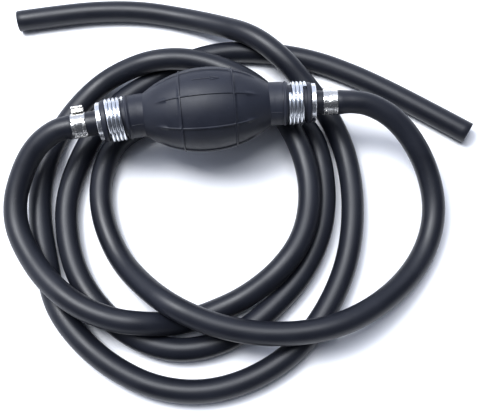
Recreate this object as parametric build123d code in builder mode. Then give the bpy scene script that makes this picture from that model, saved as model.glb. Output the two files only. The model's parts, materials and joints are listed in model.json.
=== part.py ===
from build123d import *
import os
from math import cos, sin, tan, pi, radians

# Hand-primed siphon pump: a squeeze bulb with a check valve in each end, and two
# rubber hoses. +X runs along the bulb from inlet to outlet, +Z is up, and the
# origin is the middle of the bulb. The hoses lie on a floor at z = -AXIS_HEIGHT.

# ---- driving dimensions, mm ----
HOSE_OD = 14.0
HOSE_ID = 8.0
AXIS_HEIGHT = 40.0             # bulb axis above the floor

BODY_HALF = 40.0               # middle of the bulb to the root of each neck
BULB_R = 25.5
SHOULDER_R = 11.2
BULB_WALL = 2.8
RIB_RISE = 0.45
RIB_WIDTH = 1.1
RIB_COUNT = 8
RIB_TURN = 6.5                 # first lengthwise rib above level on the far side, degrees
RIB_REACH = 27.0               # half length of the lengthwise ribs
RING_RIBS_AT = (-15.1, 16.5)   # the two ribs around the bulb
NECK_OVERLAP = 6.0             # how far a neck runs into the bulb's middle
BORE_OVERLAP = 9.0             # how far its bore does

# Distances out along a neck, from its root
COLLAR_FROM = -2.2             # the neck stands proud of the bulb from here
BEAD_FROM = 5.9
BEAD_TO = 8.9
GROOVE_TO = 20.3
NECK_END = 22.9
RING_FACE = 25.7               # outer face of the metal flange
BARB_END = 40.5
CUFF_END = 41.0                # the hose is straight up to here
NECK_R = 13.1
BEAD_R = 13.5
BEAD_SLOPE = 0.5
GROOVE_R = 11.0
LIP_R = 12.5
LIP_CHAMFER = 0.5
NECK_BORE_R = 8.0

PLUG_FROM = 2.0
PLUG_R = 7.95
PLUG_CHAMFER = 0.6
GRIP_COUNT = 3                 # grooves around the plug
GRIP_FROM = 6.5
GRIP_PITCH = 5.2
GRIP_WIDTH = 2.0
GRIP_DEPTH = 0.5
FLANGE_R = 11.8
FLANGE_CHAMFER = 0.3
BARB_ROOT_R = 4.05
BARB_RIDGE_R = 4.75
BARB_NOSE_R = 3.85
BARB_FROM = 27.9               # foot of the first ridge
BARB_COUNT = 3
BARB_RISE = 0.4                # length of a ridge's steep side
BARB_LAND = 0.2
WATERWAY_R = 2.8
CHAMBER_R = 5.8
CHAMBER_END = 17.0
SHOULDER_BORE_R = 4.6

SEAT_FACE = 14.6               # inlet seat; the outlet valve is its mirror image
VALVE_SPAN = 19.6              # inlet place + outlet place of the same valve feature
SEAT_THICK = 2.4
SEAT_BORE_R = 3.0
SEAL_GAP = 0.05
SEAL_THICK = 0.55
SEAL_R = 4.2
POPPET_R = 4.4
POPPET_THICK = 1.4
POPPET_CHAMFER = 0.3
STEM_R = 1.0
STEM_END = 4.5
GUIDE_FROM = 5.0
GUIDE_TO = 6.5
GUIDE_HOLE_R = 1.08
HUB_R = 2.1
SPOKE_WIDTH = 1.3
SPOKE_COUNT = 3
CHAMBER_GAP = 0.02             # around the seat and the guide
SPRING_R = 2.9
SPRING_WIRE = 0.5
SPRING_TURNS = 4.5
SPRING_GAP = 0.05              # at each end of the spring

COIL_WIRE = 2.2
COIL_R = 12.2                  # to the middle of the wire
COIL_PITCH = 2.32
COIL_TURNS = 3.95

CLAMP_WIDTH = 8.6
CLAMP_R = 7.05
CLAMP_THICK = 0.7
EAR_WIDTH = 7.0
EAR_BASE = 3.6                 # the ear is pinched in above the band
EAR_CREST = 5.2
EAR_FOOT_R = 7.25
EAR_TOP_R = 11.4
EAR_STRIP = 0.8                # thickness of the strip in the ear
EAR_HOLLOW_R = 8.45

HOSE_TIP = 14.0                # straight free end of each hose
FIRST_RUN = 9.0
ARC_SHARE = 0.45               # share of the shorter run that an arc may take
FLOOR = HOSE_OD / 2 - AXIS_HEIGHT   # height of a hose lying on the floor


class End:
    """One end of the pump: a line out of the bulb, slightly bent in plan."""

    def __init__(self, name, side, bend, coil_angle, clamp_at, ear_angle):
        self.name = name
        self.side = side
        self.coil_angle = coil_angle
        self.clamp_at = clamp_at
        self.ear_angle = ear_angle
        self.out = Vector(side * cos(radians(bend)), -sin(radians(bend)), 0)
        self.root = Vector(side * BODY_HALF, 0, 0)
        self.across = Vector(-side * self.out.Y, side * self.out.X, 0)
        self.axis = Axis(self.root, self.out)
        self.profile = Plane(self.root, x_dir=self.out, z_dir=self.out.cross(Vector(0, 0, 1)))

    def at(self, distance):
        """The point on the end's axis this far out."""
        return self.root + self.out * distance

    def section(self, distance, x_dir=None):
        """The plane across the axis, facing out, this far out."""
        return Plane(self.at(distance), x_dir=x_dir or self.across, z_dir=self.out)

    def spoke(self, angle):
        """The direction from the axis at this angle: 0 is level on the far side, 90 is up."""
        return self.across * cos(radians(angle)) + Vector(0, 0, sin(radians(angle)))

    def valve(self, place):
        """A place in the inlet valve, as that in this end's valve."""
        return place if self.side < 0 else VALVE_SPAN - place


INLET = End("inlet", -1, bend=5.0, coil_angle=22.0, clamp_at=37.0, ear_angle=20.0)
OUTLET = End("outlet", 1, bend=4.0, coil_angle=88.0, clamp_at=34.7, ear_angle=-25.0)

# Corners of each hose's route, after its straight start. A hose on the floor is at
# FLOOR, and one that crosses over another is at least a diameter higher.
INLET_ROUTE = [
    (-100.5, -9, -3.5), (-109, -16.5, -8), (-115.5, -27, -13), (-120.5, -40.5, -17.5),
    (-120.5, -56.5, -20.5), (-113.5, -74, -20.5), (-102, -92.5, -18), (-86, -108.5, -18),
    (-66, -119.5, -17.5), (-47, -123.5, -18.5), (-28, -122.5, -31.5), (-8, -117.5, FLOOR),
    (14, -110.5, -29.5), (36, -97.5, -22), (52, -77.5, -21.5), (59, -50, -22.5), (57, -24, -22),
    (48.5, 1, -21.5), (34, 22, -16.4), (12.5, 38.5, -18.2), (-10.5, 47.5, -18),
    (-32.5, 48.5, -18.6), (-53, 46.5, -26), (-70.5, 40, -32), (-88, 22.5, FLOOR),
    (-101.5, 0, FLOOR), (-109, -26, FLOOR), (-109, -52.5, FLOOR), (-105, -79, FLOOR),
    (-101, -103, FLOOR), (-88, -124.5, FLOOR), (-68.5, -144, FLOOR), (-43, -159, FLOOR),
    (-13.5, -164, FLOOR), (16.5, -157.5, FLOOR), (42.5, -142.5, FLOOR), (61.5, -121, FLOOR),
    (75.5, -96.5, FLOOR), (83.5, -69.5, FLOOR), (86.5, -41.5, FLOOR), (84, -14.5, FLOOR),
    (76, 9, -32), (64, 26.5, -25.5), (51, 42.5, -18), (33.5, 61, -18), (12.5, 76, -27.5),
    (-10.5, 87.5, FLOOR), (-38, 95.5, FLOOR), (-66, 98.5, FLOOR), (-94, 98, FLOOR),
    (-122.5, 96, FLOOR),
]
OUTLET_ROUTE = [
    (99.5, -5.5, -1.5), (112.5, -12.5, -6), (124, -25.5, -13.5), (132.5, -44.5, -22),
    (134.5, -67.5, -29.5), (126, -90.5, FLOOR), (109, -110.5, -30.5), (87, -126, -23.5),
    (64, -135.5, -18), (39, -138, -17.5), (13, -135, -17), (-11, -127, -15.5),
    (-31.5, -115, -14.5), (-47.5, -98.5, -24.5), (-61, -79.5, FLOOR), (-69.5, -57, FLOOR),
    (-72, -35, FLOOR), (-68, -14.5, FLOOR), (-60, -1, FLOOR), (-47, 8, FLOOR),
    (-30.5, 12.5, FLOOR), (-7, 14.5, FLOOR), (13.5, 16, FLOOR), (32.5, 16.5, FLOOR),
    (48, 12, FLOOR), (60, 2, FLOOR), (67, -11.5, FLOOR), (69.5, -32, FLOOR), (68, -55.5, FLOOR),
    (61, -79, FLOOR), (47, -101, FLOOR), (29, -117.5, FLOOR), (9, -131, FLOOR),
    (-12.5, -138, FLOOR), (-34.5, -137.5, FLOOR), (-56.5, -127, FLOOR), (-74.5, -109, FLOOR),
    (-87.5, -86.5, FLOOR), (-93, -60.5, FLOOR), (-92.5, -35.5, FLOOR), (-84, -11, FLOOR),
    (-72, 10.5, FLOOR), (-55.5, 29, FLOOR), (-33.5, 42, FLOOR), (-10, 54.5, FLOOR),
    (16.5, 59, FLOOR), (44.5, 55, FLOOR), (73, 46.5, FLOOR), (99.5, 32, FLOOR),
    (122, 16.5, FLOOR), (144, 0, FLOOR), (165.5, -16.5, FLOOR),
]


def save(piece, name):
    """Label a finished piece and write it."""
    piece.part.label = name
    export_step(piece.part, f"parts/{name}.step")


def turned(end, outline):
    """A solid of revolution about an end's axis, from an (along, radius) outline."""
    with BuildPart() as piece:
        with BuildSketch(end.profile):
            with BuildLine():
                Polyline(*outline, close=True)
            make_face()
        revolve(axis=end.axis)
    return piece


def ring_outline(start, stop, inner, outer):
    """The outline of a plain ring."""
    return [(start, inner), (stop, inner), (stop, outer), (start, outer)]


# ---- bulb ----
def bulb_body(swell):
    """The bulb's swollen middle as a solid, its surface moved out by swell."""
    with BuildPart() as body:
        with BuildSketch(Plane.XZ):
            with BuildLine():
                crown = ThreePointArc(
                    (-BODY_HALF, SHOULDER_R + swell),
                    (0, BULB_R + swell),
                    (BODY_HALF, SHOULDER_R + swell),
                )
                Polyline(crown @ 1, (BODY_HALF, 0), (-BODY_HALF, 0), crown @ 0)
            make_face()
        revolve(axis=Axis.X)
    return body


def neck(end):
    """The outside of a rubber neck, with its bead, coil groove and lip."""
    return turned(end, [
        (-NECK_OVERLAP, 0), (-NECK_OVERLAP, GROOVE_R), (COLLAR_FROM, GROOVE_R),
        (COLLAR_FROM, NECK_R), (BEAD_FROM, NECK_R),
        (BEAD_FROM + BEAD_SLOPE, BEAD_R), (BEAD_TO - BEAD_SLOPE, BEAD_R), (BEAD_TO, NECK_R),
        (BEAD_TO, GROOVE_R), (GROOVE_TO, GROOVE_R), (GROOVE_TO, LIP_R),
        (NECK_END - LIP_CHAMFER, LIP_R), (NECK_END, LIP_R - LIP_CHAMFER), (NECK_END, 0),
    ])


def neck_bore(end):
    """The hole that the fitting is pushed into."""
    return turned(end, ring_outline(-BORE_OVERLAP, NECK_END + 1, 0, NECK_BORE_R))


with BuildPart() as rib_cage:
    with BuildSketch(Plane.YZ.offset(-RIB_REACH)):
        with PolarLocations(0, RIB_COUNT, RIB_TURN):
            Rectangle(2 * (BULB_R + RIB_RISE), RIB_WIDTH)
    extrude(amount=2 * RIB_REACH)
    for place in RING_RIBS_AT:
        with BuildSketch(Plane.YZ.offset(place - RIB_WIDTH / 2)):
            Circle(BULB_R + RIB_RISE)
        extrude(amount=RIB_WIDTH)
    add(bulb_body(RIB_RISE).part, mode=Mode.INTERSECT)

with BuildPart() as bulb:
    add(bulb_body(0).part)
    add(rib_cage.part)
    for end in (INLET, OUTLET):
        add(neck(end).part)
    add(bulb_body(-BULB_WALL).part, mode=Mode.SUBTRACT)
    for end in (INLET, OUTLET):
        add(neck_bore(end).part, mode=Mode.SUBTRACT)
save(bulb, "bulb")


# ---- fitting and valve in each end ----
def barb_outline():
    """Ridges of the hose barb, from the flange to the nose, as (along, radius)."""
    pitch = (BARB_END - BARB_FROM) / BARB_COUNT
    points = [(RING_FACE, BARB_ROOT_R)]
    for index in range(BARB_COUNT):
        foot = BARB_FROM + index * pitch
        points += [(foot, BARB_ROOT_R), (foot + BARB_RISE, BARB_RIDGE_R),
                   (foot + pitch - BARB_LAND, BARB_ROOT_R)]
    points.append((BARB_END, BARB_NOSE_R))
    return points


def fitting(end):
    """The metal body: grooved plug, flange ring, hose barb and valve chamber."""
    grips = []
    for index in range(GRIP_COUNT):
        start = GRIP_FROM + index * GRIP_PITCH
        stop = start + GRIP_WIDTH
        grips += [(start, PLUG_R), (start + GRIP_DEPTH, PLUG_R - GRIP_DEPTH),
                  (stop - GRIP_DEPTH, PLUG_R - GRIP_DEPTH), (stop, PLUG_R)]
    if end.side < 0:
        chamber = [(CHAMBER_END, WATERWAY_R), (CHAMBER_END, CHAMBER_R), (PLUG_FROM, CHAMBER_R)]
    else:
        chamber = [(CHAMBER_END, WATERWAY_R), (CHAMBER_END, SHOULDER_BORE_R),
                   (SEAT_FACE, SHOULDER_BORE_R), (SEAT_FACE, CHAMBER_R), (PLUG_FROM, CHAMBER_R)]
    return turned(end, [
        (PLUG_FROM, PLUG_R - PLUG_CHAMFER), (PLUG_FROM + PLUG_CHAMFER, PLUG_R), *grips,
        (NECK_END, PLUG_R), (NECK_END, FLANGE_R - FLANGE_CHAMFER),
        (NECK_END + FLANGE_CHAMFER, FLANGE_R), (RING_FACE - FLANGE_CHAMFER, FLANGE_R),
        (RING_FACE, FLANGE_R - FLANGE_CHAMFER), *barb_outline(), (BARB_END, WATERWAY_R), *chamber,
    ])


def valve_ring(end, start, stop, inner, outer):
    """A plain ring of the valve, with its places given as in the inlet."""
    return turned(end, ring_outline(end.valve(start), end.valve(stop), inner, outer))


def poppet(end):
    """The disc that closes the valve, and its guide stem."""
    face = SEAT_FACE - SEAL_GAP - SEAL_THICK
    outline = [
        (face, 0), (face, POPPET_R - POPPET_CHAMFER), (face - POPPET_CHAMFER, POPPET_R),
        (face - POPPET_THICK, POPPET_R), (face - POPPET_THICK, STEM_R),
        (STEM_END + POPPET_CHAMFER, STEM_R), (STEM_END, STEM_R - POPPET_CHAMFER), (STEM_END, 0),
    ]
    return turned(end, [(end.valve(along), radius) for along, radius in outline])


def guide(end):
    """The spoked ring that holds the stem and carries the spring."""
    low, high = sorted((end.valve(GUIDE_FROM), end.valve(GUIDE_TO)))
    with BuildPart() as piece:
        with BuildSketch(end.section(low)):
            Circle(CHAMBER_R - CHAMBER_GAP)
            Circle(SHOULDER_BORE_R, mode=Mode.SUBTRACT)
            Circle(HUB_R)
            with PolarLocations(SHOULDER_BORE_R / 2, SPOKE_COUNT):
                Rectangle(CHAMBER_R - SPOKE_WIDTH / 2, SPOKE_WIDTH)
            Circle(GUIDE_HOLE_R, mode=Mode.SUBTRACT)
        extrude(amount=high - low)
    return piece


def wound(end, start, pitch, turns, radius, wire, from_angle):
    """A wire wound round an end's axis, from a start at this angle."""
    with BuildPart() as coil:
        with BuildLine() as line:
            Helix(pitch=pitch, height=pitch * turns, radius=radius,
                  center=end.at(start), direction=end.out)
        with BuildSketch(Plane(line.line @ 0, z_dir=line.line % 0)):
            Circle(wire / 2)
        sweep(path=line.line)
    first_spoke = line.line @ 0 - end.at(start)
    turn = first_spoke.get_signed_angle(end.spoke(from_angle), end.out)
    with BuildPart() as piece:
        add(coil.part.rotate(end.axis, turn))
    return piece


def ear_clamp(end):
    """A one-ear hose clamp: a thin band with a hollow ear pinched up from it."""
    hollow_base, hollow_crest = EAR_BASE - 2 * EAR_STRIP, EAR_CREST - 2 * EAR_STRIP
    with BuildPart() as piece:
        with BuildSketch(end.section(end.clamp_at - CLAMP_WIDTH / 2)):
            Circle(CLAMP_R + CLAMP_THICK)
            Circle(CLAMP_R, mode=Mode.SUBTRACT)
        extrude(amount=CLAMP_WIDTH)
        with BuildSketch(end.section(end.clamp_at - EAR_WIDTH / 2, end.spoke(end.ear_angle))):
            with BuildLine():
                Polyline(
                    (EAR_FOOT_R, -EAR_BASE / 2), (EAR_TOP_R, -EAR_CREST / 2),
                    (EAR_TOP_R, EAR_CREST / 2), (EAR_FOOT_R, EAR_BASE / 2), close=True,
                )
            make_face()
            with BuildLine():
                Polyline(
                    (EAR_HOLLOW_R, -hollow_base / 2), (EAR_TOP_R - EAR_STRIP, -hollow_crest / 2),
                    (EAR_TOP_R - EAR_STRIP, hollow_crest / 2), (EAR_HOLLOW_R, hollow_base / 2),
                    close=True,
                )
            make_face(mode=Mode.SUBTRACT)
            Circle(CLAMP_R, mode=Mode.SUBTRACT)
        extrude(amount=EAR_WIDTH)
    return piece


for end in (INLET, OUTLET):
    seal_face = SEAT_FACE - SEAL_GAP
    back = seal_face - SEAL_THICK - POPPET_THICK
    spring_pitch = (back - GUIDE_TO - SPRING_WIRE - 2 * SPRING_GAP) / SPRING_TURNS
    spring_start = min(end.valve(GUIDE_TO), end.valve(back)) + SPRING_WIRE / 2 + SPRING_GAP
    coil_start = (BEAD_TO + GROOVE_TO - COIL_PITCH * COIL_TURNS) / 2
    save(fitting(end), f"{end.name}_fitting")
    save(valve_ring(end, SEAT_FACE, SEAT_FACE + SEAT_THICK, SEAT_BORE_R,
                    CHAMBER_R - CHAMBER_GAP),
         f"{end.name}_valve_seat")
    save(valve_ring(end, seal_face - SEAL_THICK, seal_face, STEM_R, SEAL_R),
         f"{end.name}_valve_seal")
    save(poppet(end), f"{end.name}_valve_poppet")
    save(guide(end), f"{end.name}_valve_guide")
    save(wound(end, spring_start, spring_pitch, SPRING_TURNS, SPRING_R, SPRING_WIRE, 0),
         f"{end.name}_valve_spring")
    save(wound(end, coil_start, COIL_PITCH, COIL_TURNS, COIL_R, COIL_WIRE, end.coil_angle),
         f"{end.name}_coil_clamp")
    save(ear_clamp(end), f"{end.name}_ear_clamp")


# ---- hoses ----
def hose(end, corners):
    """A hose in three solids: over the barb, along its route, and its free end."""
    route = [end.at(CUFF_END), end.at(CUFF_END + FIRST_RUN)]
    route += [Vector(*corner) for corner in corners]
    radii = []
    for before, corner, after in zip(route, route[1:], route[2:]):
        half_turn = radians((corner - before).get_angle(after - corner)) / 2
        shorter = min((corner - before).length, (after - corner).length)
        radii.append(ARC_SHARE * shorter / tan(half_turn))
    last = (route[-1] - route[-2]).normalized()
    tip_start = route[-1] - last * HOSE_TIP

    with BuildPart() as run:
        with BuildLine() as line:
            FilletPolyline(*route[:-1], tip_start, radius=radii)
        with BuildSketch(Plane(route[0], z_dir=end.out)):
            Circle(HOSE_OD / 2)
            Circle(HOSE_ID / 2, mode=Mode.SUBTRACT)
        sweep(path=line.wires()[0])
    save(run, f"{end.name}_hose")

    with BuildPart() as tip:
        with BuildSketch(Plane(tip_start, z_dir=last)):
            Circle(HOSE_OD / 2)
            Circle(HOSE_ID / 2, mode=Mode.SUBTRACT)
        extrude(amount=HOSE_TIP)
    save(tip, f"{end.name}_hose_tip")

    save(turned(end, [*barb_outline(), (CUFF_END, BARB_NOSE_R), (CUFF_END, HOSE_OD / 2),
                      (RING_FACE, HOSE_OD / 2)]), f"{end.name}_hose_cuff")

    length = line.wires()[0].length
    section = pi * (HOSE_OD ** 2 - HOSE_ID ** 2) / 4
    print(f"{end.name} hose: {CUFF_END - RING_FACE + length + HOSE_TIP:.0f} mm long,",
          f"volume / (section x length) = {run.part.volume / (section * length):.4f}")
    print("  arc radii", " ".join(f"{radius:.0f}" for radius in radii))


hose(INLET, INLET_ROUTE)
hose(OUTLET, OUTLET_ROUTE)
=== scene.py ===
import json
from math import cos, degrees, pi, radians, sin, sqrt, tau

import bpy
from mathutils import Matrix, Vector

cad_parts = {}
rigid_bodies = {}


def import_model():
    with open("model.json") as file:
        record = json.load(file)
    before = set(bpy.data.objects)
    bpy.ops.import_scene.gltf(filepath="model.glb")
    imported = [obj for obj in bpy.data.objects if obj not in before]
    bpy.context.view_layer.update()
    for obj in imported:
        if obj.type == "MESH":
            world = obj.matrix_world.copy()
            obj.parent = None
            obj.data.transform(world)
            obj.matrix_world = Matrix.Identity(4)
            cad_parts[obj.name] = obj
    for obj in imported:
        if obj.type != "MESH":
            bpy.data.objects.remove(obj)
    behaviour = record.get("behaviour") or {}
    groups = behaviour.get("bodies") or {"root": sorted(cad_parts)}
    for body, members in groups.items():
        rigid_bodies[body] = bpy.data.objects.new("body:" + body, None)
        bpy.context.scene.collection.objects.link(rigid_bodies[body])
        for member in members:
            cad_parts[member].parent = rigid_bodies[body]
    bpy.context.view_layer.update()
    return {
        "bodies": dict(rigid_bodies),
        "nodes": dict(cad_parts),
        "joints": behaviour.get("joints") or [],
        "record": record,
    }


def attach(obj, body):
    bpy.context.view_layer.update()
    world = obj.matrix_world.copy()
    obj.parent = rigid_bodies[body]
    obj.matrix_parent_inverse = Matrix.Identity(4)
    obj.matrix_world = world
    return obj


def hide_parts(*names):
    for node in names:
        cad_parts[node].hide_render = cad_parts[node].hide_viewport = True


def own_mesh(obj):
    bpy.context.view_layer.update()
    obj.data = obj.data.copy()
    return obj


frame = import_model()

PUMP = "pump"                # the body that every piece made here rides on

# ---- sizes that several pieces share, in metres, as in the frame ----
BODY_HALF = 0.040            # middle of the bulb to the root of each neck
HOSE_R = 0.007
BORE_R = 0.004
FLOOR_Z = -0.040
ON_FLOOR = FLOOR_Z + HOSE_R
RING_FACE = 0.0257           # outer face of the metal flange, out along a neck
INLET_CLAMP_AT = 0.0370      # middle of each ear clamp, out along its neck
OUTLET_CLAMP_AT = 0.0347


# ---------------------------------------------------------------- small tools
def smooth_step(low, high, value):
    """0 below low, 1 above high, and a smooth rise between."""
    share = min(max((value - low) / (high - low), 0.0), 1.0)
    return share * share * (3 - 2 * share)


def bump_at(value, centre, half_width):
    """A rounded bump of height 1 at centre."""
    share = abs(value - centre) / half_width
    return 0.0 if share >= 1 else 0.5 + 0.5 * cos(pi * share)


class End:
    """One end of the pump: its axis, slightly bent in plan."""

    def __init__(self, name, side, bend):
        self.name = name
        self.side = side
        self.root = Vector((side * BODY_HALF, 0, 0))
        self.out = Vector((side * cos(radians(bend)), -sin(radians(bend)), 0))
        self.across = Vector((-side * self.out.y, side * self.out.x, 0))
        self.up = Vector((0, 0, 1))

    def on_axis(self, along):
        """The point this far out on the axis."""
        return self.root + self.out * along

    def spoke(self, angle):
        """The direction from the axis at this angle: 0 is level on the far side, 90 is up."""
        return self.across * cos(radians(angle)) + self.up * sin(radians(angle))

    def point(self, along, radius, angle):
        """A point by its distance out, its radius and its angle in degrees."""
        return self.on_axis(along) + self.spoke(angle) * radius


INLET = End("inlet", -1, 5.0)
OUTLET = End("outlet", 1, 4.0)


def new_mesh(name, verts, faces, smooth_angle):
    """A piece that rides on the pump, from points and faces; sharper edges stay sharp."""
    mesh = bpy.data.meshes.new(name)
    mesh.from_pydata([tuple(v) for v in verts], [], faces)
    mesh.validate()
    mesh.shade_smooth()
    mesh.set_sharp_from_angle(angle=radians(smooth_angle))
    piece = bpy.data.objects.new(name, mesh)
    bpy.context.scene.collection.objects.link(piece)
    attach(piece, PUMP)
    return piece


def loft(rings, capped=False):
    """Points and faces of the surface through rings of equally many points.

    It has a cap on each end, or else the last ring joins the first.
    """
    count = len(rings[0])
    verts = [point for ring in rings for point in ring]
    faces = []
    for i in range(len(rings) - 1 if capped else len(rings)):
        a, b = i * count, ((i + 1) % len(rings)) * count
        for j in range(count):
            k = (j + 1) % count
            faces.append((a + j, a + k, b + k, b + j))
    if capped:
        faces.append(tuple(reversed(range(count))))
        faces.append(tuple(range((len(rings) - 1) * count, len(rings) * count)))
    return verts, faces


# ---------------------------------------------------------------- materials
RUBBER_GRAIN_DEPTH = 0.00003
SCRATCH_DEPTH = 0.00001
PLASTIC_GRAIN_DEPTH = 0.00002


class Shader:
    """A material's node tree, with short calls for the nodes used here."""

    def __init__(self, name):
        self.material = bpy.data.materials.new(name)
        self.material.use_nodes = True
        self.nodes = self.material.node_tree.nodes
        self.links = self.material.node_tree.links
        self.surface = self.nodes["Principled BSDF"]
        self.place = self.nodes.new("ShaderNodeTexCoord").outputs["Object"]

    def node(self, kind, inputs=None, **settings):
        """A node, with its settings and its inputs, by name or number."""
        made = self.nodes.new(kind)
        for key, value in settings.items():
            setattr(made, key, value)
        for key, value in (inputs or {}).items():
            if isinstance(value, bpy.types.NodeSocket):
                self.links.new(value, made.inputs[key])
            else:
                made.inputs[key].default_value = value
        return made

    def noise(self, scale, detail, roughness, distortion=0.0, vector=None):
        """A noise pattern; scale is in cycles for each unit of the vector, by default a metre."""
        made = self.node("ShaderNodeTexNoise", {
            "Vector": vector or self.place, "Scale": scale, "Detail": detail,
            "Roughness": roughness, "Distortion": distortion,
        })
        return made.outputs["Fac"]

    def stretched(self, vector, scale):
        """The vector, with each of its axes scaled on its own."""
        return self.node("ShaderNodeMapping", {"Vector": vector, "Scale": scale}).outputs["Vector"]

    def ranged(self, value, low, high, to_low, to_high):
        """value, carried from one range to another and clamped."""
        made = self.node("ShaderNodeMapRange", {
            0: value, 1: low, 2: high, 3: to_low, 4: to_high,
        })
        return made.outputs["Result"]

    def maths(self, operation, first, second):
        """One arithmetic step."""
        return self.node("ShaderNodeMath", {0: first, 1: second}, operation=operation).outputs[0]

    def sum_of(self, first, first_share, second, second_share):
        """Two patterns added, each times its share."""
        return self.maths("ADD", self.maths("MULTIPLY", first, first_share),
                          self.maths("MULTIPLY", second, second_share))

    def mixed(self, share, first, second):
        """A colour between two."""
        made = self.node("ShaderNodeMix", {0: share, 6: first, 7: second}, data_type="RGBA")
        return made.outputs[2]

    def dusted(self, colour, scale, level, most, dust):
        """The colour with specks of dust, where a fine noise rises above level."""
        specks = self.ranged(self.noise(scale, 2.0, 0.5), level, level + 0.08, 0.0, most)
        return self.mixed(specks, colour, (*dust, 1))

    def bump(self, height, distance, normal=None):
        """A surface normal from a height; distance is its depth in metres."""
        inputs = {"Height": height, "Distance": distance, "Strength": 1.0}
        if normal is not None:
            inputs["Normal"] = normal
        return self.node("ShaderNodeBump", inputs).outputs["Normal"]

    def set(self, **values):
        """Constants and links on the shader's own sockets."""
        for key, value in values.items():
            socket = self.surface.inputs[key.replace("_", " ")]
            if isinstance(value, bpy.types.NodeSocket):
                self.links.new(value, socket)
            else:
                socket.default_value = value
        return self.material


def rubber(name, dark, light, rough_low, rough_high):
    """Black rubber: faint cloudy bloom, specks of dust, fine moulded grain and uneven gloss."""
    s = Shader(name)
    bloom = s.noise(38.0, 6.0, 0.62, 0.4)
    grain = s.noise(2600.0, 3.0, 0.6)
    smear = s.noise(120.0, 5.0, 0.65, 0.8)
    colour = s.mixed(s.ranged(bloom, 0.35, 0.72, 0.0, 1.0), (*dark, 1), (*light, 1))
    return s.set(
        Base_Color=s.dusted(colour, 900.0, 0.70, 0.35, (0.07, 0.072, 0.085)),
        Metallic=0.0, Specular_IOR_Level=0.33,
        Roughness=s.ranged(smear, 0.3, 0.75, rough_low, rough_high),
        Normal=s.bump(s.sum_of(grain, 0.5, smear, 0.8), RUBBER_GRAIN_DEPTH),
    )


def hose_rubber():
    """Extruded black rubber: drawn lines along the hose, bloom, scuffs and dust."""
    s = Shader("hose_rubber")
    run = s.node("ShaderNodeUVMap", uv_map="run").outputs["UV"]
    lines = s.noise(1.0, 3.0, 0.6, vector=s.stretched(run, (3.0, 260.0, 1.0)))
    bloom = s.noise(26.0, 5.0, 0.6, 0.5)
    grain = s.noise(2200.0, 3.0, 0.6)
    scuff = s.noise(1.0, 6.0, 0.7, 1.2, vector=s.stretched(run, (60.0, 14.0, 1.0)))
    colour = s.mixed(s.ranged(bloom, 0.35, 0.7, 0.0, 1.0), (0.0055, 0.0064, 0.0105, 1),
                     (0.0095, 0.0110, 0.0170, 1))
    dusty = s.dusted(colour, 750.0, 0.71, 0.25, (0.08, 0.083, 0.10))
    worn = s.mixed(s.ranged(scuff, 0.62, 0.78, 0.0, 0.3), dusty, (0.028, 0.030, 0.038, 1))
    return s.set(
        Base_Color=worn, Metallic=0.0, Specular_IOR_Level=0.34,
        Roughness=s.ranged(s.sum_of(bloom, 1.0, scuff, 0.5), 0.5, 1.1, 0.34, 0.5),
        Normal=s.bump(s.sum_of(lines, 0.7, grain, 0.35), RUBBER_GRAIN_DEPTH),
    )


def metal(name, bright, dull, rough_low, rough_high, streak=(1.0, 1.0, 1.0), scale=900.0,
          dents=0.0):
    """Bare or plated metal: streaks one way, dull patches, fine scratches and dents."""
    s = Shader(name)
    streaks = s.noise(scale, 4.0, 0.6, vector=s.stretched(s.place, streak))
    patches = s.noise(160.0, 5.0, 0.6, 0.6)
    colour = s.mixed(s.ranged(patches, 0.42, 0.72, 0.0, 1.0), (*bright, 1), (*dull, 1))
    rough = s.sum_of(streaks, 0.5, patches, 0.5)
    relief = s.bump(s.sum_of(streaks, 1.0, patches, 0.4), SCRATCH_DEPTH)
    if dents:
        relief = s.bump(s.noise(330.0, 2.0, 0.5, 0.4), dents, relief)
    return s.set(
        Base_Color=colour, Metallic=1.0,
        Roughness=s.ranged(rough, 0.35, 0.65, rough_low, rough_high), Normal=relief,
    )


def moulded_plastic():
    """Off-white acetal with a faint moulded grain."""
    s = Shader("valve_plastic")
    grain = s.noise(1800.0, 3.0, 0.6)
    cloud = s.noise(220.0, 4.0, 0.5)
    return s.set(
        Base_Color=s.mixed(cloud, (0.80, 0.79, 0.75, 1), (0.88, 0.87, 0.84, 1)),
        Roughness=s.ranged(grain, 0.3, 0.7, 0.35, 0.5),
        Normal=s.bump(grain, PLASTIC_GRAIN_DEPTH),
    )


HOSE_RUBBER = hose_rubber()
BULB_RUBBER = rubber("bulb_rubber", (0.0095, 0.0110, 0.0180), (0.0155, 0.0178, 0.0275),
                     0.42, 0.58)
SEAL_RUBBER = rubber("seal_rubber", (0.03, 0.03, 0.03), (0.05, 0.05, 0.05), 0.55, 0.7)
TURNED = metal("turned_flange", (0.86, 0.87, 0.88), (0.74, 0.75, 0.77), 0.16, 0.30)
ZINC = metal("zinc_wire", (0.83, 0.85, 0.88), (0.66, 0.69, 0.73), 0.14, 0.28, scale=1400.0)
STAINLESS = metal("stainless_strip", (0.74, 0.73, 0.70), (0.52, 0.51, 0.49), 0.16, 0.32,
                  streak=(1.0, 1.0, 0.2), dents=0.0004)
SPRING_WIRE = metal("spring_wire", (0.62, 0.62, 0.62), (0.5, 0.5, 0.5), 0.22, 0.36,
                    scale=2500.0)
BRASS = metal("brass", (0.78, 0.60, 0.30), (0.62, 0.46, 0.22), 0.2, 0.36)
PLASTIC = moulded_plastic()


# ---------------------------------------------------------------- camera
VIEW_AZIMUTH = 5.6           # degrees, so that the bulb rises to the right by this much
VIEW_ELEVATION = 70.0
VIEW_DISTANCE = 0.505
VIEW_LENS = 57.6
VIEW_TARGET = (0.0211, -0.0515, FLOOR_Z)


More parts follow.
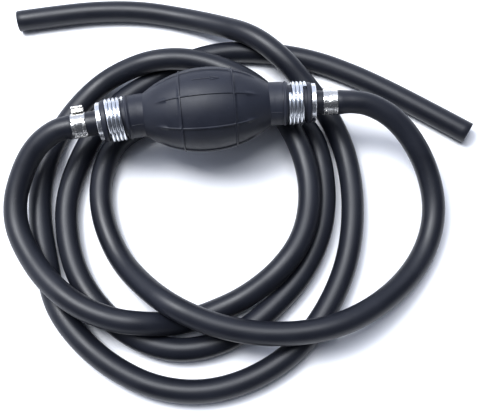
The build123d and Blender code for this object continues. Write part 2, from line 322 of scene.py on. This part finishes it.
def build_camera():
    """The scene's camera, which looks at its target from VIEW_AZIMUTH and VIEW_ELEVATION."""
    data = bpy.data.cameras.new("camera")
    data.lens = VIEW_LENS
    data.clip_start = 0.01
    camera = bpy.data.objects.new("camera", data)
    turn, tilt = radians(VIEW_AZIMUTH), radians(VIEW_ELEVATION)
    back = Vector((-cos(tilt) * sin(turn), -cos(tilt) * cos(turn), sin(tilt)))
    camera.location = Vector(VIEW_TARGET) + back * VIEW_DISTANCE
    camera.rotation_euler = back.to_track_quat("Z", "Y").to_euler()
    bpy.context.scene.collection.objects.link(camera)
    bpy.context.scene.camera = camera


build_camera()


# ---------------------------------------------------------------- hoses
CUFF_END = 0.041             # the hose is straight up to here, out along its neck,
FIRST_RUN = 0.009            # and its route's next point is this much further out
HOSE_POINTS_AROUND = 44
CUT_CHAMFER = 0.0004         # on the edges of the cut end
WALL_R = BORE_R + 0.0002     # inside the hose, behind the cut end
BARB_SWELL = 0.00025         # how far the barb inside stretches the hose,
SWELL_TO = 0.016             # along the hose to here,
SWELL_GONE = 0.021           # fading out by here
CLAMP_BITE = 0.0004          # an ear clamp presses this deep at its middle,
BITE_MOST = 0.0003           # cut off flat at this,
BITE_HALF = 0.0062           # and this far to each side
BULGE = 0.00018              # the rubber it pushes up at its edges
BULGE_HALF = 0.002

# the routes, past those straight first points
INLET_ROUTE = [
    (-0.1005, -0.009, -0.0035), (-0.109, -0.0165, -0.008), (-0.1155, -0.027, -0.013),
    (-0.1205, -0.0405, -0.0175), (-0.1205, -0.0565, -0.0205), (-0.1135, -0.074, -0.0205),
    (-0.102, -0.0925, -0.018), (-0.086, -0.1085, -0.018), (-0.066, -0.1195, -0.0175),
    (-0.047, -0.1235, -0.0185), (-0.028, -0.1225, -0.0315), (-0.008, -0.1175, ON_FLOOR),
    (0.014, -0.1105, -0.0295), (0.036, -0.0975, -0.022), (0.052, -0.0775, -0.0215),
    (0.059, -0.05, -0.0225), (0.057, -0.024, -0.022), (0.0485, 0.001, -0.0215),
    (0.034, 0.022, -0.0164), (0.0125, 0.0385, -0.0182), (-0.0105, 0.0475, -0.018),
    (-0.0325, 0.0485, -0.0186), (-0.053, 0.0465, -0.026), (-0.0705, 0.04, -0.032),
    (-0.088, 0.0225, ON_FLOOR), (-0.1015, 0, ON_FLOOR), (-0.109, -0.026, ON_FLOOR),
    (-0.109, -0.0525, ON_FLOOR), (-0.105, -0.079, ON_FLOOR), (-0.101, -0.103, ON_FLOOR),
    (-0.088, -0.1245, ON_FLOOR), (-0.0685, -0.144, ON_FLOOR), (-0.043, -0.159, ON_FLOOR),
    (-0.0135, -0.164, ON_FLOOR), (0.0165, -0.1575, ON_FLOOR), (0.0425, -0.1425, ON_FLOOR),
    (0.0615, -0.121, ON_FLOOR), (0.0755, -0.0965, ON_FLOOR), (0.0835, -0.0695, ON_FLOOR),
    (0.0865, -0.0415, ON_FLOOR), (0.084, -0.0145, ON_FLOOR), (0.076, 0.009, -0.032),
    (0.064, 0.0265, -0.0255), (0.051, 0.0425, -0.018), (0.0335, 0.061, -0.018),
    (0.0125, 0.076, -0.0275), (-0.0105, 0.0875, ON_FLOOR), (-0.038, 0.0955, ON_FLOOR),
    (-0.066, 0.0985, ON_FLOOR), (-0.094, 0.098, ON_FLOOR), (-0.1225, 0.096, ON_FLOOR),
]
OUTLET_ROUTE = [
    (0.0995, -0.0055, -0.0015), (0.1125, -0.0125, -0.006), (0.124, -0.0255, -0.0135),
    (0.1325, -0.0445, -0.022), (0.1345, -0.0675, -0.0295), (0.126, -0.0905, ON_FLOOR),
    (0.109, -0.1105, -0.0305), (0.087, -0.126, -0.0235), (0.064, -0.1355, -0.018),
    (0.039, -0.138, -0.0175), (0.013, -0.135, -0.017), (-0.011, -0.127, -0.0155),
    (-0.0315, -0.115, -0.0145), (-0.0475, -0.0985, -0.0245), (-0.061, -0.0795, ON_FLOOR),
    (-0.0695, -0.057, ON_FLOOR), (-0.072, -0.035, ON_FLOOR), (-0.068, -0.0145, ON_FLOOR),
    (-0.06, -0.001, ON_FLOOR), (-0.047, 0.008, ON_FLOOR), (-0.0305, 0.0125, ON_FLOOR),
    (-0.007, 0.0145, ON_FLOOR), (0.0135, 0.016, ON_FLOOR), (0.0325, 0.0165, ON_FLOOR),
    (0.048, 0.012, ON_FLOOR), (0.06, 0.002, ON_FLOOR), (0.067, -0.0115, ON_FLOOR),
    (0.0695, -0.032, ON_FLOOR), (0.068, -0.0555, ON_FLOOR), (0.061, -0.079, ON_FLOOR),
    (0.047, -0.101, ON_FLOOR), (0.029, -0.1175, ON_FLOOR), (0.009, -0.131, ON_FLOOR),
    (-0.0125, -0.138, ON_FLOOR), (-0.0345, -0.1375, ON_FLOOR), (-0.0565, -0.127, ON_FLOOR),
    (-0.0745, -0.109, ON_FLOOR), (-0.0875, -0.0865, ON_FLOOR), (-0.093, -0.0605, ON_FLOOR),
    (-0.0925, -0.0355, ON_FLOOR), (-0.084, -0.011, ON_FLOOR), (-0.072, 0.0105, ON_FLOOR),
    (-0.0555, 0.029, ON_FLOOR), (-0.0335, 0.042, ON_FLOOR), (-0.01, 0.0545, ON_FLOOR),
    (0.0165, 0.059, ON_FLOOR), (0.0445, 0.055, ON_FLOOR), (0.073, 0.0465, ON_FLOOR),
    (0.0995, 0.032, ON_FLOOR), (0.122, 0.0165, ON_FLOOR), (0.144, 0, ON_FLOOR),
    (0.1655, -0.0165, ON_FLOOR),
]


def nurbs_path(name, points):
    """The points along the smooth line that has these as its control points."""
    curve = bpy.data.curves.new(name, "CURVE")
    curve.dimensions = "3D"
    curve.resolution_u = 12
    spline = curve.splines.new("NURBS")
    spline.points.add(len(points) - 1)
    for target, point in zip(spline.points, points):
        target.co = (*point, 1)
    spline.order_u = 3
    spline.use_endpoint_u = True
    holder = bpy.data.objects.new(name, curve)
    bpy.context.scene.collection.objects.link(holder)
    bpy.context.view_layer.update()
    graph = bpy.context.evaluated_depsgraph_get()
    line = bpy.data.meshes.new_from_object(holder.evaluated_get(graph))
    path = [vertex.co.copy() for vertex in line.vertices]
    bpy.data.objects.remove(holder)
    bpy.data.meshes.remove(line)
    return path


def heading_at(path, i):
    """The path's direction at its point i, from the points on each side of it."""
    return path[min(i + 1, len(path) - 1)] - path[max(i - 1, 0)]


def carried_frames(path):
    """Along each point of the path: where, how far along, and two directions across."""
    frames = []
    side = Vector((0, 0, 1))
    run = 0.0
    for i, point in enumerate(path):
        ahead = heading_at(path, i).normalized()
        side = (side - ahead * side.dot(ahead)).normalized()
        if i:
            run += (point - path[i - 1]).length
        frames.append((point, run, side, ahead.cross(side)))
    return frames


def hose_swell(run, clamp_at):
    """How much the hose stands out where it is stretched by the barb and pinched by the clamp."""
    swell = BARB_SWELL * (1 - smooth_step(SWELL_TO, SWELL_GONE, run))
    bite = min(CLAMP_BITE * bump_at(run, clamp_at, BITE_HALF), BITE_MOST)
    bulges = [bump_at(run, clamp_at + side * BITE_HALF, BULGE_HALF) for side in (-1, 1)]
    return swell + BULGE * sum(bulges) - bite


def build_hose(end, route, clamp_at):
    """A hose with its bore, from the flange to its cut end."""
    name = f"{end.name}_hose_rubber"
    points = [end.on_axis(RING_FACE), end.on_axis(CUFF_END), end.on_axis(CUFF_END + FIRST_RUN)]
    path = nurbs_path(name, points + [Vector(point) for point in route])
    frames = carried_frames(path)
    around = HOSE_POINTS_AROUND
    rings = []
    runs = []

    def ring(frame, radius):
        point, run, side, other = frame
        runs.append(run)
        turns = [tau * k / around for k in range(around)]
        rings.append([
            point + side * (radius * cos(turn)) + other * (radius * sin(turn)) for turn in turns
        ])

    tip_point, total, *tip_sides = frames[-1]
    outward = (path[-1] - path[-2]).normalized()
    shy = (tip_point - outward * CUT_CHAMFER, total - CUT_CHAMFER, *tip_sides)
    for frame in frames:
        if frame[1] < total - CUT_CHAMFER:
            ring(frame, HOSE_R + hose_swell(frame[1], clamp_at - RING_FACE))
    ring(shy, HOSE_R)
    ring(frames[-1], HOSE_R - CUT_CHAMFER)
    ring(frames[-1], (HOSE_R + BORE_R) / 2)
    ring(frames[-1], BORE_R + CUT_CHAMFER / 2)
    ring(shy, BORE_R)
    for frame in reversed(frames[:-1:3]):
        ring(frame, WALL_R)
    verts, faces = loft(rings)
    piece = new_mesh(name, verts, faces, 50)

    # the layer "run" is metres along the hose, and turns around it
    layer = piece.data.uv_layers.new(name="run")
    for polygon in piece.data.polygons:
        corners = [piece.data.loops[i].vertex_index for i in polygon.loop_indices]
        spots = [corner % around for corner in corners]
        wraps = max(spots) - min(spots) > 1
        for i, corner, spot in zip(polygon.loop_indices, corners, spots):
            turn = (spot + around if wraps and spot == 0 else spot) / around
            layer.data[i].uv = (runs[corner // around], turn)
    piece.data.materials.append(HOSE_RUBBER)
    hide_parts(f"{end.name}_hose", f"{end.name}_hose_cuff", f"{end.name}_hose_tip")
    tuple(end.on_axis(RING_FACE))


build_hose(INLET, INLET_ROUTE, INLET_CLAMP_AT)
build_hose(OUTLET, OUTLET_ROUTE, OUTLET_CLAMP_AT)


# ---------------------------------------------------------------- bulb
BULB_R = 0.0255
BULB_WALL = 0.0028
HOLLOW_TO = 0.037            # past this the bulb has only the bores of its necks
SHOULDER_R = 0.0112
CROWN_R = ((BULB_R - SHOULDER_R) ** 2 + BODY_HALF ** 2) / (2 * (BULB_R - SHOULDER_R))
COLLAR_AT = 0.0378           # the neck stands proud of the bulb from here, off the middle
SLIGHT = 0.0001              # too little to see: the ring at COLLAR_AT itself is the neck's
RIB_COUNT = 8
RIB_TURN = 6.5               # degrees from level to the first lengthwise rib
RIB_HALF = 0.00065
RIB_RISE = 0.0007
RIB_FADES_FROM = 0.024       # the lengthwise ribs sink into the bulb between these
RIB_FADES_TO = 0.031
INLET_RIB_AT = -0.0151       # the two ribs around the bulb
OUTLET_RIB_AT = 0.0165

# places along a neck are distances out from its root
NECK_R = 0.0131
NECK_BORE_R = 0.0080
RIDGE_PITCH = 0.0007         # fine ridges around the collar
RIDGE_DEPTH = 0.0001
RIDGES_FROM = 0.0002         # they grow to full depth between these
RIDGES_FULL = 0.0010
BEAD_FROM = 0.0059           # from here to the groove the neck is lower,
BEAD_STEP = 0.0004           # by this much, with a bead in the middle
BEAD_RISE = 0.0008
BEAD_HALF = 0.0014
GROOVE_FROM = 0.0089         # the groove that the coil lies in
GROOVE_TO = 0.0203
GROOVE_R = 0.0110
LIP_R = 0.0125
LIP_ROUND = 0.0006           # the lip's outer edge is rounded over this length,
LIP_DROP = 0.0004            # and by this much
NECK_END = 0.0229


def crown(along):
    """Radius of the bulb's swollen middle at this distance from its centre."""
    return BULB_R - CROWN_R + sqrt(CROWN_R ** 2 - along ** 2)


def neck_radius(along):
    """Radius of the neck this far out from its root."""
    if along < BEAD_FROM:
        ridge = 0.5 + 0.5 * cos(tau * along / RIDGE_PITCH)
        return NECK_R - RIDGE_DEPTH * ridge * smooth_step(RIDGES_FROM, RIDGES_FULL, along)
    if along < GROOVE_FROM:
        bead_at = (BEAD_FROM + GROOVE_FROM) / 2
        return NECK_R - BEAD_STEP + BEAD_RISE * bump_at(along, bead_at, BEAD_HALF)
    if along < GROOVE_TO:
        return GROOVE_R
    return LIP_R - LIP_DROP * smooth_step(NECK_END - LIP_ROUND, NECK_END, along)


def rib_profile(off):
    """Height of a rib this far from its middle: a flat top with short sides."""
    return RIB_RISE * (1 - smooth_step(0.45 * RIB_HALF, RIB_HALF, abs(off)))


def lengthwise_rib(along, angle, radius):
    """Height of the lengthwise ribs, which fade out before the necks."""
    pitch = 360 / RIB_COUNT
    off = (angle - RIB_TURN + pitch / 2) % pitch - pitch / 2
    fade = 1 - smooth_step(RIB_FADES_FROM, RIB_FADES_TO, abs(along))
    return fade * rib_profile(radians(off) * radius)


def outer_radius(along, angle):
    """Radius of the bulb's outside, ribs and necks too, at this distance from its centre."""
    if abs(along) > COLLAR_AT - SLIGHT:
        return neck_radius(abs(along) - BODY_HALF)
    radius = crown(along)
    hoop = max(rib_profile(along - INLET_RIB_AT), rib_profile(along - OUTLET_RIB_AT))
    return radius + max(hoop, lengthwise_rib(along, angle, radius))


def inner_radius(along):
    """Radius of the hollow in the bulb, or of the bore in a neck."""
    hollow = crown(along) - BULB_WALL if abs(along) < HOLLOW_TO else 0
    return max(hollow, NECK_BORE_R + SLIGHT)


def stations(stops):
    """Places from stop to stop, given as (from, to, step), and about a step apart."""
    places = []
    for low, high, step in stops:
        count = max(1, round((high - low) / step))
        places += [low + (high - low) * i / count for i in range(count)]
    return places + [stops[-1][1]]


def places_along():
    """Where the bulb has a ring of points: close together at ribs, ridges and steps."""
    foot_at = 0.0366
    neck_stops = [
        (foot_at, COLLAR_AT, 0.0002),    # the foot of the collar
        (COLLAR_AT, 0.0396, 0.0003),
        (0.0396, 0.0459, 0.000175),      # its ridges
        (0.0459, 0.0488, 0.0003),        # the bead
        (0.0488, 0.0490, 0.0001),        # the step into the groove
        (0.0490, 0.0600, 0.0022),
        (0.0600, 0.0604, 0.0002),        # the step onto the lip
        (0.0604, 0.0622, 0.0009),
        (0.0622, 0.0629, 0.00023),       # the lip's rounded edge
    ]
    places = []
    for side, rib_at in ((-1, -INLET_RIB_AT), (1, OUTLET_RIB_AT)):
        low, high = rib_at - RIB_HALF, rib_at + RIB_HALF
        half = stations([(0.0, low, 0.0015), (low, high, 0.000165), (high, foot_at, 0.0014),
                         *neck_stops])
        places += [side * along for along in (reversed(half[1:]) if side < 0 else half)]
    return places


def angles_around():
    """The angles of a ring's points: seven across each rib, and eight between two ribs."""
    across_rib = (-1.0, -0.72, -0.45, 0.0, 0.45, 0.72, 1.0)
    rib_half_turn = degrees(RIB_HALF / BULB_R)
    gap = 360 / RIB_COUNT - 2 * rib_half_turn
    angles = []
    for index in range(RIB_COUNT):
        centre = RIB_TURN + 360 / RIB_COUNT * index
        angles += [centre + offset * rib_half_turn for offset in across_rib]
        angles += [centre + rib_half_turn + gap * k / 9 for k in range(1, 9)]
    return angles


def bulb_point(along, radius, angle):
    """A point of the bulb; past the middle, along a bent neck."""
    end = INLET if along < 0 else OUTLET
    beyond = abs(along) - BODY_HALF
    bend = smooth_step(-0.004, 0.004, beyond)
    straight = Vector((along, radius * cos(radians(angle)), radius * sin(radians(angle))))
    if bend == 0:
        return straight
    return straight.lerp(end.point(beyond, radius, angle), bend)


def build_bulb():
    """The bulb: ribbed middle, two necks, and the wall behind them."""
    angles = angles_around()
    rings = [
        [bulb_point(along, outer_radius(along, angle), angle) for angle in angles]
        for along in places_along()
    ]
    bore = [0.0629, 0.053, 0.043, 0.036, 0.030, 0.020, 0.010, 0.0]
    for along in bore + [-place for place in reversed(bore[:-1])]:
        rings.append([bulb_point(along, inner_radius(along), angle) for angle in angles])
    verts, faces = loft(rings)
    piece = new_mesh("bulb_rubber_shell", verts, faces, 60)
    piece.data.materials.append(BULB_RUBBER)
    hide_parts("bulb")


build_bulb()


# ---------------------------------------------------------------- lines moulded on the bulb
ARROW_LINE = 0.00042         # half widths
PARTING_LINE = 0.00022
ARROW_TAIL = -0.0072
ARROW_NECK = 0.0036
ARROW_TIP = 0.0086
ARROW_ANGLE = 72.0
ARROW_SPREAD = 3.4           # degrees from the shaft to each corner of the head
PARTING_ANGLE = 141.0
PARTING_FROM = 0.0380        # off the bulb's middle
PARTING_TO = 0.0457


def moulded_line(name, stops, half_width):
    """A fine raised line on the bulb through stops given as (along, angle)."""
    around = 10
    steps = 12
    rings = []
    for (along, angle), (next_along, next_angle) in zip(stops, stops[1:]):
        for i in range(steps + 1):
            share = i / steps
            x = along + (next_along - along) * share
            turn = angle + (next_angle - angle) * share
            radius = neck_radius(abs(x) - BODY_HALF) if abs(x) > COLLAR_AT else crown(x)
            outward = Vector((0, cos(radians(turn)), sin(radians(turn))))
            heading = Vector((next_along - along, 0, 0))
            sweep = Vector((0, -outward.z, outward.y)) * radians(next_angle - angle) * radius
            across = (heading + sweep).normalized().cross(outward)
            centre = bulb_point(x, radius - half_width * 0.25, turn)
            rings.append([
                centre + across * (half_width * cos(tau * k / around))
                + outward * (half_width * 1.1 * sin(tau * k / around))
                for k in range(around)
            ])
    verts, faces = loft(rings, capped=True)
    piece = new_mesh(name, verts, faces, 60)
    piece.data.materials.append(BULB_RUBBER)


def build_moulded_lines():
    """The flow arrow, and the parting line of the mould on each neck."""
    moulded_line("flow_arrow_shaft", [(ARROW_TAIL, ARROW_ANGLE), (ARROW_NECK, ARROW_ANGLE)],
                 ARROW_LINE)
    corner = (ARROW_NECK, ARROW_ANGLE + ARROW_SPREAD)
    moulded_line("flow_arrow_head", [
        corner, (ARROW_TIP, ARROW_ANGLE), (ARROW_NECK, ARROW_ANGLE - ARROW_SPREAD), corner,
        (0.0046, 74.7),      # a little past the first corner again, to close it
    ], ARROW_LINE)
    for end in (INLET, OUTLET):
        moulded_line(f"{end.name}_parting_line", [
            (end.side * PARTING_FROM, PARTING_ANGLE), (end.side * PARTING_TO, PARTING_ANGLE),
        ], PARTING_LINE)


build_moulded_lines()


# ---------------------------------------------------------------- wire coils
COIL_R = 0.0122
WIRE_R = 0.0011
COIL_PITCH = 0.00232
SPRING_R = 0.0029
SPRING_WIRE_R = 0.00025
SPRING_TURNS = 4.5
SPRING_FROM = 0.0065         # its ends, out along the inlet's neck
SPRING_TO = 0.0126
SPRING_GAP = 0.00005         # left free at each end
VALVE_SPAN = 0.0196          # a place on the outlet valve is this less the inlet's
WIRE_STEPS = 72              # for each turn
WIRE_POINTS_AROUND = 16
CUT_END = 0.86               # the radius of a wire's two cut ends, as a share of its own


def wound_wire(end, start, pitch, turns, radius, wire, first_angle):
    """Points and faces of a wire wound round an end's axis, with cut ends."""
    steps = round(turns * WIRE_STEPS)
    around = WIRE_POINTS_AROUND
    rings = []
    for i in range(steps + 1):
        turn = turns * i / steps
        spoke = end.spoke(first_angle + end.side * 360 * turn)
        centre = end.on_axis(start + pitch * turn) + spoke * radius
        size = wire if 0 < i < steps else wire * CUT_END
        rings.append([
            centre + (spoke * cos(tau * k / around) + end.out * sin(tau * k / around)) * size
            for k in range(around)
        ])
    return loft(rings, capped=True)


def build_coil(end, turns, first_angle):
    """The wire that clamps a neck on its fitting."""
    start = (GROOVE_FROM + GROOVE_TO - COIL_PITCH * turns) / 2
    verts, faces = wound_wire(end, start, COIL_PITCH, turns, COIL_R, WIRE_R, first_angle)
    piece = new_mesh(f"{end.name}_coil_wire", verts, faces, 50)
    piece.data.materials.append(ZINC)
    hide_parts(f"{end.name}_coil_clamp")


def build_spring(end):
    """The valve's return spring, between its fixed end and the poppet at rest; the real one
    shortens as the poppet lifts, but this one is made at one length.
    """
    fixed, moving = SPRING_FROM, SPRING_TO
    if end.side > 0:
        fixed, moving = VALVE_SPAN - SPRING_FROM, VALVE_SPAN - SPRING_TO
    low = min(fixed, moving) + SPRING_WIRE_R + SPRING_GAP
    high = max(fixed, moving) - SPRING_WIRE_R - SPRING_GAP
    pitch = (high - low) / SPRING_TURNS
    verts, faces = wound_wire(end, low, pitch, SPRING_TURNS, SPRING_R, SPRING_WIRE_R, 0)
    piece = new_mesh(f"{end.name}_spring_wire", verts, faces, 50)
    piece.data.materials.append(SPRING_WIRE)
    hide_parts(f"{end.name}_valve_spring")
    tuple(end.on_axis(fixed))
    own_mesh(piece)


build_coil(INLET, 3.96, 22)
build_coil(OUTLET, 3.94, 88)
build_spring(INLET)
build_spring(OUTLET)


# ---------------------------------------------------------------- ear clamps
BAND_R = 0.00705
BAND_THICK = 0.00045
BAND_HALF = 0.0043
STRAP_RISE = 0.0003          # the outer turn of the strap over the inner one
NOTCH_DEPTH = 0.0011         # a waist in both edges of the band,
NOTCH_REACH = 8              # this many degrees to each side
EDGE_DROP = 0.00012          # the edges are rounded by this much,
EDGE_ROUND = 0.0004          # over this width
EAR_HALF = 0.00345           # half width of the ear, along the hose
EAR_HALF_THICK = 0.0003
EAR_BEVEL = 0.00012
EAR_OUTLINE = [              # half of the pinched ear, as (off its middle, radius)
    (0.0040, 0.0074), (0.0027, 0.0078), (0.0017, 0.0081), (0.0015, 0.0090),
    (0.0023, 0.0101), (0.0027, 0.0110), (0.0019, 0.0116),
]
EAR_DIP = (0.0, 0.0112)


def spacing(angle, across, at_angle, at_across):
    """Distance on the band between two places, each given by an angle and metres across."""
    return sqrt((radians(angle - at_angle) * BAND_R) ** 2 + (across - at_across) ** 2)


def edge_drop(across):
    """How much the band's rounded edges lie lower."""
    return EDGE_DROP * bump_at(abs(across), BAND_HALF, EDGE_ROUND)


def inlet_relief(angle, across):
    """Height of the inlet clamp's band: two rails, a sunken middle and three hooks."""
    strap_from, rails_from, rails_to = 60, 100, 172
    sunk_at, sunk_reach, sunk_depth = 132, 34, 0.0003
    hooks_at, hook_gap, hook_reach, hook_rise = 169, 0.0026, 0.0012, 0.0007
    height = BAND_THICK
    if strap_from < angle < rails_from:
        height += STRAP_RISE
    if rails_from <= angle < rails_to:
        rail = smooth_step(0.0022, 0.0026, abs(across))
        sunk = sunk_depth * (1 - rail) * bump_at(angle, sunk_at, sunk_reach)
        height += STRAP_RISE * rail - sunk
    for at_across in (-hook_gap, 0.0, hook_gap):
        off = spacing(angle, across, hooks_at, at_across)
        height += hook_rise * bump_at(off, 0, hook_reach)
    return height - edge_drop(across)


def outlet_relief(angle, across):
    """Height of the outlet clamp's band: a plain strap with two holes near its end."""
    strap_to = 142
    holes_at, hole_off, hole_depth = 153, 0.0029, 0.00042
    height = BAND_THICK
    if angle < strap_to:
        height += STRAP_RISE
    for at_across in (-hole_off, hole_off):
        off = spacing(angle, across, holes_at, at_across)
        height -= hole_depth * (1 - smooth_step(0.00045, 0.0007, off))
    return height - edge_drop(across)


def ear_strip(end, clamp_at, ear_angle):
    """Points and faces of the pinched ear: a strip bent in the plane across the hose."""
    near_side = [(-side, radius) for side, radius in EAR_OUTLINE]
    stops = near_side + [EAR_DIP] + EAR_OUTLINE[::-1]
    path = nurbs_path("ear_line", [(side, radius, 0) for side, radius in stops])
    radial = end.spoke(ear_angle)
    tangent = end.spoke(ear_angle + 90)
    middle = end.on_axis(clamp_at)
    long_half, thick_half = EAR_HALF - EAR_BEVEL, EAR_HALF_THICK - EAR_BEVEL
    outline = [
        (EAR_HALF, -thick_half), (EAR_HALF, thick_half), (long_half, EAR_HALF_THICK),
        (-long_half, EAR_HALF_THICK), (-EAR_HALF, thick_half), (-EAR_HALF, -thick_half),
        (-long_half, -EAR_HALF_THICK), (long_half, -EAR_HALF_THICK),
    ]
    rings = []
    for i, point in enumerate(path):
        ahead = heading_at(path, i)
        normal = Vector((-ahead.y, ahead.x, 0)).normalized()
        ring = []
        for along, rise in outline:
            flat = point + normal * rise
            ring.append(middle + tangent * flat.x + radial * flat.y + end.out * along)
        rings.append(ring)
    return loft(rings, capped=True)


def build_ear_clamp(end, clamp_at, ear_angle, relief, notch_at):
    """A one-ear clamp: the band with its relief and notches, and the pinched ear."""
    around = 180
    cuts = 44
    angles = [360 * k / around for k in range(around)]

    def half_width(angle):
        return BAND_HALF - NOTCH_DEPTH * bump_at(angle, notch_at, NOTCH_REACH)

    def ring(share, height_at):
        """The band's ring at this share of its half width, -1 to 1."""
        places = [(angle, share * half_width(angle)) for angle in angles]
        return [
            end.point(clamp_at + across, BAND_R + height_at(angle, across), angle)
            for angle, across in places
        ]

    rings = [ring(2 * i / cuts - 1, relief) for i in range(cuts + 1)]
    rings += [ring(share, lambda angle, across: 0.0) for share in (1, -1)]
    verts, faces = loft(rings)
    ear_verts, ear_faces = ear_strip(end, clamp_at, ear_angle)
    first = len(verts)
    verts += ear_verts
    faces += [tuple(first + index for index in face) for face in ear_faces]
    piece = new_mesh(f"{end.name}_clamp_strap", verts, faces, 32)
    piece.data.materials.append(STAINLESS)
    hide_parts(f"{end.name}_ear_clamp")


build_ear_clamp(INLET, INLET_CLAMP_AT, 20.0, inlet_relief, 97)
build_ear_clamp(OUTLET, OUTLET_CLAMP_AT, -25.0, outlet_relief, 260)


# ---------------------------------------------------------------- CAD pieces
CAD_MATERIALS = {            # for the nodes that stay as CAD made them
    "fitting": TURNED, "valve_seat": BRASS, "valve_seal": SEAL_RUBBER,
    "valve_poppet": PLASTIC, "valve_guide": PLASTIC,
}
for end in (INLET, OUTLET):
    for piece_name, material in CAD_MATERIALS.items():
        node = frame["nodes"][f"{end.name}_{piece_name}"]
        for slot in node.material_slots:
            slot.material = material


# ---------------------------------------------------------------- floor and light
FLOOR_HALF = 3.0
LIGHTS_FACE = Vector((0, -0.03, 0))      # the point that both lights are turned to
ROOM_TINT = (0.74, 0.81, 1.0, 1)
ROOM_BRIGHT_WAY = (-0.42, 0.85, 0.32)    # the room is brightest this way
ROOM_LEVELS = (-0.12, 0.50, 0.10, 1.05)  # dim and bright places along it, and their strengths


def build_floor():
    """A plain pale floor under the hoses."""
    mesh = bpy.data.meshes.new("floor")
    corners = [(x * FLOOR_HALF, y * FLOOR_HALF, FLOOR_Z)
               for x, y in ((-1, -1), (1, -1), (1, 1), (-1, 1))]
    mesh.from_pydata(corners, [], [(0, 1, 2, 3)])
    floor = bpy.data.objects.new("floor", mesh)
    bpy.context.scene.collection.objects.link(floor)
    s = Shader("pale_floor")
    paper = s.noise(300.0, 3.0, 0.5)
    mesh.materials.append(s.set(
        Base_Color=s.mixed(paper, (0.86, 0.865, 0.89, 1), (0.88, 0.885, 0.90, 1)),
        Roughness=0.8, Specular_IOR_Level=0.2,
    ))


def soft_light(name, place, size, power, colour):
    """A square soft light, turned to LIGHTS_FACE."""
    data = bpy.data.lights.new(name, "AREA")
    data.shape = "SQUARE"
    data.size = size
    data.energy = power
    data.color = colour
    light = bpy.data.objects.new(name, data)
    light.location = place
    light.rotation_euler = (Vector(place) - LIGHTS_FACE).to_track_quat("Z", "Y").to_euler()
    bpy.context.scene.collection.objects.link(light)


def build_surroundings():
    """A pale room that is darker on the near side and to the right."""
    world = bpy.data.worlds.new("studio")
    world.use_nodes = True
    tree = world.node_tree
    background = tree.nodes["Background"]
    heading = tree.nodes.new("ShaderNodeTexCoord").outputs["Generated"]
    bright_side = tree.nodes.new("ShaderNodeVectorMath")
    bright_side.operation = "DOT_PRODUCT"
    bright_side.inputs[1].default_value = ROOM_BRIGHT_WAY
    tree.links.new(heading, bright_side.inputs[0])
    level = tree.nodes.new("ShaderNodeMapRange")
    level.interpolation_type = "SMOOTHSTEP"
    for index, value in enumerate(ROOM_LEVELS, 1):
        level.inputs[index].default_value = value
    tree.links.new(bright_side.outputs["Value"], level.inputs[0])
    tree.links.new(level.outputs["Result"], background.inputs["Strength"])
    background.inputs["Color"].default_value = ROOM_TINT
    bpy.context.scene.world = world


build_floor()
soft_light("key", (-0.52, 0.28, 1.18), size=0.55, power=20.0, colour=(0.95, 0.97, 1.0))
soft_light("panel", (-0.05, 0.16, 1.30), size=0.8, power=12.5, colour=(0.92, 0.95, 1.0))
build_surroundings()
bpy.context.scene.view_settings.view_transform = "Standard"
